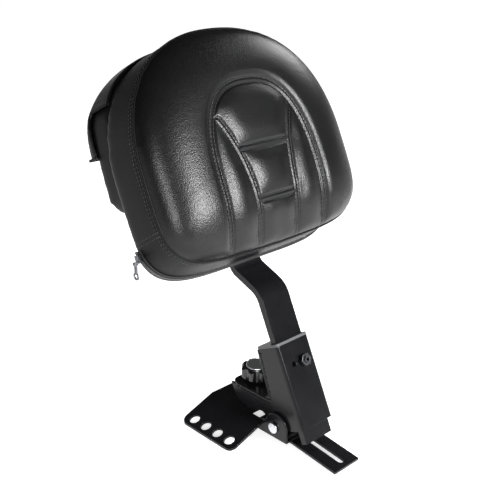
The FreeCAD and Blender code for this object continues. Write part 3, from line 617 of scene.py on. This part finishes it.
def stitch_mesh(places_and_turns, length, radius, name):
    """One mesh of small rounded stitches at given places and directions."""
    bpy.ops.mesh.primitive_uv_sphere_add(segments=6, ring_count=5, radius=1.0)
    pattern = bpy.context.object
    shape = mesh_points(pattern.data)
    faces = [list(face.vertices) for face in pattern.data.polygons]
    bpy.data.objects.remove(pattern)
    points = []
    polygons = []
    for place, along, normal in places_and_turns:
        across = along.cross(normal)
        axes = np.array([along * (length / 2), across * radius, normal * radius])
        start = len(points)
        points.extend(shape @ axes + np.array(place))
        polygons.extend([[start + index for index in face] for face in faces])
    mesh = bpy.data.meshes.new(name)
    mesh.from_pydata([tuple(point) for point in points], [], polygons)
    mesh.update()
    piece = bpy.data.objects.new(name, mesh)
    bpy.context.scene.collection.objects.link(piece)
    select_only(piece)
    bpy.ops.object.shade_smooth()
    return piece


def row_stitches(row, lift):
    """Stitches between the successive hits of a row, lifted off the surface, with none across a gap."""
    found = []
    for (hit, normal), (later, _) in zip(row, row[1:]):
        if hit is None or later is None or (later - hit).length > 2 * stitch_pitch:
            continue
        along = (later - hit).normalized()
        square = (normal - along * normal.dot(along)).normalized()
        found.append((hit.lerp(later, 0.5) + square * lift, along, square))
    return found


def sew(stitches, length, radius, name):
    """Makes stitches one piece of thread that moves with the pad."""
    piece = stitch_mesh(stitches, length, radius, name)
    piece.data.materials.append(thread)
    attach(piece, "support")


def offset_line(line, offset):
    """Polyline shifted sideways by an offset."""
    tangent = np.gradient(line, axis=0)
    tangent /= np.linalg.norm(tangent, axis=1, keepdims=True)
    return line + offset * np.stack([-tangent[:, 1], tangent[:, 0]], axis=1)


front_tree = surface_tree(front)
stitches = []
for line in seam_lines(0.0012):
    for offset in (-stitch_offset, stitch_offset):
        row = []
        for across, height in even_points(offset_line(line, offset), stitch_pitch):
            hit, normal, _, _ = front_tree.ray_cast(pad_place(across, -0.08, height), back)
            row.append((hit, normal))
        stitches.extend(row_stitches(row, stitch_lift))
thread = moulded_plastic("bonded_black_thread", "#1d1d1f", 0.40, 0.55, 0.0004)
sew(stitches, stitch_length, stitch_radius, "front_seam_stitches")

# Piped front seam
# A thin piping of the boxing's vinyl is sewn into the seam between the front and the boxing.
# It runs all the way round, along the open edge of the front.
piping_radius = 0.0016


def boundary_loop(piece):
    """Ordered points of a piece's open edge."""
    mesh = piece.data
    used = {}
    for polygon in mesh.polygons:
        for key in polygon.edge_keys:
            used[key] = used.get(key, 0) + 1
    neighbours = {}
    for (one, two), count in used.items():
        if count == 1:
            neighbours.setdefault(one, []).append(two)
            neighbours.setdefault(two, []).append(one)
    first = min(neighbours)
    loop = [first]
    last = None
    here = first
    while True:
        following = next((item for item in neighbours[here] if item != last), None)
        if following is None or following == first:
            break
        loop.append(following)
        last, here = here, following
    points = mesh_points(mesh)
    return points[loop]


def closed_even(points, spacing, rounds):
    """Evenly spaced closed loop, smoothed by averaging neighbours."""
    ring = np.vstack([points, points[:1]])
    ring = even_points(ring, spacing)[:-1]
    for _ in range(rounds):
        ring = (np.roll(ring, 1, axis=0) + 2 * ring + np.roll(ring, -1, axis=0)) / 4
    return ring


def tube(points, radius, name, closed):
    """Round tube along points, made as a curve with a bevel and turned to a mesh."""
    curve = bpy.data.curves.new(name, "CURVE")
    curve.dimensions = "3D"
    curve.bevel_depth = radius
    curve.bevel_resolution = 3
    curve.use_fill_caps = True
    spline = curve.splines.new("POLY")
    spline.points.add(len(points) - 1)
    for target, place in zip(spline.points, points):
        target.co = (*place, 1)
    spline.use_cyclic_u = closed
    holder = bpy.data.objects.new(name, curve)
    bpy.context.scene.collection.objects.link(holder)
    select_only(holder)
    bpy.ops.object.convert(target="MESH")
    bpy.ops.object.shade_smooth()
    return bpy.context.object


seam_ring = closed_even(boundary_loop(front), 0.003, 8)
piping = tube(seam_ring, piping_radius, "seam_piping_sewn", True)
dress(piping, smooth_vinyl, "seam_piping")

# Boxing stitches
# Two rows of stitches hold the seam allowance down on the boxing, just behind the piping.
# A cross seam with two rows joins the boxing's lower band to its sides, a little above each lower corner.
fine_length = 0.0029
fine_radius = 0.0005
fine_lift = 0.0001
boxing_rows = (0.0045, 0.0085)
cross_seam_height = 0.042
cross_seam_slope = 0.10
cross_seam_rows = (0.0, 0.0045)
cross_seam_end = 0.004
side_tree = surface_tree(sides)
boxing_stitches = []
for depth in boxing_rows:
    row = []
    for place in closed_even(seam_ring, stitch_pitch, 0):
        hit, normal, _, _ = side_tree.find_nearest(Vector(place) + back * depth)
        row.append((hit, normal))
    boxing_stitches.extend(row_stitches(row + row[:1], fine_lift))
for side in (-1, 1):
    for row_shift in cross_seam_rows:
        row = []
        for depth in np.arange(cross_seam_end, pad_rear - cross_seam_end, stitch_pitch):
            height = cross_seam_height - cross_seam_slope * depth + row_shift
            start = pad_place(side * (half_width + 0.05), depth, height)
            hit, normal, _, _ = side_tree.ray_cast(start, Vector((-side, 0, 0)))
            row.append((hit, normal))
        boxing_stitches.extend(row_stitches(row, fine_lift))
sew(boxing_stitches, fine_length, fine_radius, "boxing_stitches")

# Pouch and flap
# A soft bag of the same vinyl is sewn to the pad's back, and a leather flap folds over its top and hangs
# down behind. Both start from the solid forms, remeshed and softened. The bag swells below the flap.
pouch_pressure = 5.0
pouch_swell = 0.008
pouch_sewn_depth = 0.006
flap_reach = 0.150
flap_voxel = 0.0014
pouch = solid_copy("pouch_body", "pouch_body_sewn")
apply_modifier(pouch, "REMESH", mode="VOXEL", voxel_size=soft_voxel)
apply_modifier(pouch, "SMOOTH", factor=0.5, iterations=10)
pouch_places = pad_coordinates(mesh_points(pouch.data))
under_flap = pouch_places[:, 2] > flap_reach
sewn = pouch_places[:, 1] < pad_rear + pouch_sewn_depth
swell(pouch, pouch_pressure, pouch_swell, under_flap | sewn)
apply_modifier(pouch, "SUBSURF", levels=1, render_levels=1)
bpy.ops.object.shade_smooth()
dress(pouch, smooth_vinyl, "pouch_body")

flap = solid_copy("pouch_flap", "pouch_flap_sewn")
apply_modifier(flap, "REMESH", mode="VOXEL", voxel_size=flap_voxel)
apply_modifier(flap, "SMOOTH", factor=0.5, iterations=24)
bpy.ops.object.shade_smooth()
dress(flap, leather, "pouch_flap")
rounded("flap_hem_piping", 0.0006, smooth_vinyl)

# Flap stitches
# Two rows of stitches hold the flap's turned hem across its rear.
# They are found by looking at the flap from behind, at two heights above its lower edge.
hem_rows = (0.0060, 0.0100)
hem_end = 0.008
flap_tree = surface_tree(flap)
hem_height = np.min(pad_coordinates(mesh_points(flap.data))[:, 2])
flap_half = np.max(mesh_points(flap.data)[:, 0])
hem_stitches = []
for row_height in hem_rows:
    row = []
    for across in np.arange(hem_end - flap_half, flap_half - hem_end, stitch_pitch):
        start = pad_place(across, pad_rear + 0.12, hem_height + row_height)
        hit, normal, _, _ = flap_tree.ray_cast(start, -back)
        row.append((hit, normal))
    hem_stitches.extend(row_stitches(row, fine_lift))
sew(hem_stitches, fine_length, fine_radius, "flap_hem_stitches")

# Zip
# A coil zip closes the lower rear of the boxing, so that the cover comes off. Its slider and pull are
# dark nickel. The coil's turns lie across the chain, and are drawn coarse so that they show.
tooth_pitch = 0.0023
tooth_length = 0.0032
tooth_radius = 0.0006
aim_steps = 1200
aim_reach = 0.25


def woven_tape():
    """Polyester zip tape: a fine twill of about 0.8 mm."""
    material, tree = new_material("woven_zip_tape")
    place = add(tree, "ShaderNodeTexCoord").outputs["Object"]
    twill = add(tree, "ShaderNodeTexWave", {"Vector": place, "Scale": 1 / 0.0016, "Distortion": 0.5},
                bands_direction="DIAGONAL")
    tone = add(tree, "ShaderNodeMixRGB", {"Fac": twill.outputs["Fac"], "Color1": linear("#111112"),
                                         "Color2": linear("#1c1c1e")})
    bump = add(tree, "ShaderNodeBump", {"Height": twill.outputs["Fac"], "Strength": 0.3,
                                        "Distance": 0.0003})
    finish_material(tree, add(tree, "ShaderNodeBsdfPrincipled", {
        "Base Color": tone.outputs["Color"], "Roughness": 0.85, "Normal": bump.outputs["Normal"]}))
    return material


gunmetal = plated_steel("dark_nickel_plate", "#6f7074", "#3c3d40", 0.28)
rounded("zip_tape", 0.0002, woven_tape())
zip_plastic = moulded_plastic("moulded_zip_coil", "#161617", 0.3, 0.45, 0.0010)
chain = rounded("zip_chain", 0.0004, zip_plastic)
chain_points = pad_coordinates(mesh_points(chain.data))
chain_depth = (np.min(chain_points[:, 1]) + np.max(chain_points[:, 1])) / 2
chain_top = np.max(chain_points[:, 2])
chain_tree = surface_tree(chain)
chain_centre = pad_place(0, chain_depth, chain_top)
teeth = []
for step in range(aim_steps):
    turn = math.pi * (1 + step / aim_steps)
    aim = Vector((math.cos(turn), 0, 0)) + up * math.sin(turn)
    hit, normal, _, _ = chain_tree.ray_cast(chain_centre + aim * aim_reach, -aim)
    if hit is None:
        continue
    if teeth and (hit - teeth[-1][0]).length < tooth_pitch:
        continue
    teeth.append((hit, back, normal))
coil = stitch_mesh(teeth, tooth_length, tooth_radius, "zip_coil_teeth")
coil.data.materials.append(zip_plastic)
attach(coil, "support")
rounded("zip_slider", 0.0005, gunmetal)
rounded("zip_pull", 0.0003, gunmetal)

# Floor, light and camera
# A plain white floor under soft studio light, seen from the pad's front left and a little above.
# The camera sees white all round. Glossy surfaces see the white low down and a dark ceiling above it.
floor_size = 12
floor_gap = 0.0005
floor_glow = 0.60
soft_light = 0.5
wall_bottom = 0.03
wall_top = 0.14
ceiling_glow = 0.02


def seen_rays(tree):
    """Light path node, and a value of 1 for rays from the camera, off a gloss or through glass."""
    path = add(tree, "ShaderNodeLightPath")
    bounced = add(tree, "ShaderNodeMath", {0: path.outputs["Is Glossy Ray"],
                                           1: path.outputs["Is Transmission Ray"]}, operation="MAXIMUM")
    seen = add(tree, "ShaderNodeMath", {0: path.outputs["Is Camera Ray"], 1: bounced.outputs["Value"]},
               operation="MAXIMUM")
    return path, seen.outputs["Value"]


def white_floor():
    """Pale floor that shows white to the camera and in reflections, and keeps the object's shadow."""
    material, tree = new_material("pale_floor")
    _, seen = seen_rays(tree)
    glow = add(tree, "ShaderNodeMath", {0: seen, 1: floor_glow}, operation="MULTIPLY")
    finish_material(tree, add(tree, "ShaderNodeBsdfPrincipled", {
        "Base Color": linear("#f4f4f4"), "Roughness": 0.9, "Specular IOR Level": 0.1,
        "Emission Color": linear("#ffffff"), "Emission Strength": glow.outputs["Value"]}))
    return material


bpy.ops.object.select_all(action="DESELECT")
bpy.ops.mesh.primitive_plane_add(size=floor_size, location=(0, 0, solid_box[0][2] - floor_gap))
floor = bpy.context.object
floor.name = "floor"
bpy.ops.object.transform_apply(location=True, rotation=True, scale=True)
floor.data.materials.append(white_floor())

world = bpy.data.worlds.new("studio")
bpy.context.scene.world = world
world.use_nodes = True
room = world.node_tree
room.nodes.clear()
path, seen = seen_rays(room)
direction = add(room, "ShaderNodeTexCoord").outputs["Generated"]
rise = add(room, "ShaderNodeSeparateXYZ", {"Vector": direction})
wall = add(room, "ShaderNodeMapRange", {
    "Value": rise.outputs["Z"], "From Min": wall_bottom, "From Max": wall_top,
    "To Min": 1.0, "To Max": ceiling_glow}, interpolation_type="SMOOTHSTEP")
shown = add(room, "ShaderNodeMath", {0: path.outputs["Is Camera Ray"], 1: wall.outputs["Result"]},
            operation="MAXIMUM")
soft = add(room, "ShaderNodeBackground", {"Color": linear("#ffffff"), "Strength": soft_light})
white = add(room, "ShaderNodeBackground", {"Color": linear("#ffffff"), "Strength": shown.outputs["Value"]})
mixed = add(room, "ShaderNodeMixShader", {"Fac": seen, 1: soft.outputs["Background"],
                                          2: white.outputs["Background"]})
add(room, "ShaderNodeOutputWorld", {"Surface": mixed.outputs["Shader"]})


def area_lamp(name, place, target, size, power):
    """Square soft box that points at a target."""
    lamp = bpy.data.lights.new(name, "AREA")
    lamp.size = size
    lamp.energy = power
    holder = bpy.data.objects.new(name, lamp)
    bpy.context.scene.collection.objects.link(holder)
    holder.location = place
    holder.rotation_euler = (Vector(target) - Vector(place)).to_track_quat("-Z", "Y").to_euler()


area_lamp("key_soft_box", (0.30, -1.40, 0.80), (0, 0.05, 0.3), 0.40, 52)
area_lamp("rim_soft_box", (1.7, 0.2, 1.3), (0, 0.05, 0.3), 0.6, 14)
area_lamp("left_soft_box", (-1.15, -1.0, 0.72), (0, 0.05, 0.25), 0.40, 20)

camera_data = bpy.data.cameras.new("camera")
camera_data.sensor_width = 36
camera_data.lens = 59.8
camera = bpy.data.objects.new("camera", camera_data)
bpy.context.scene.collection.objects.link(camera)
camera.location = (-0.611, -0.569, 0.5465)
camera.rotation_euler = (math.radians(90 - 21), 0, math.radians(-43.72))
bpy.context.scene.camera = camera
bpy.context.scene.view_settings.view_transform = "Standard"
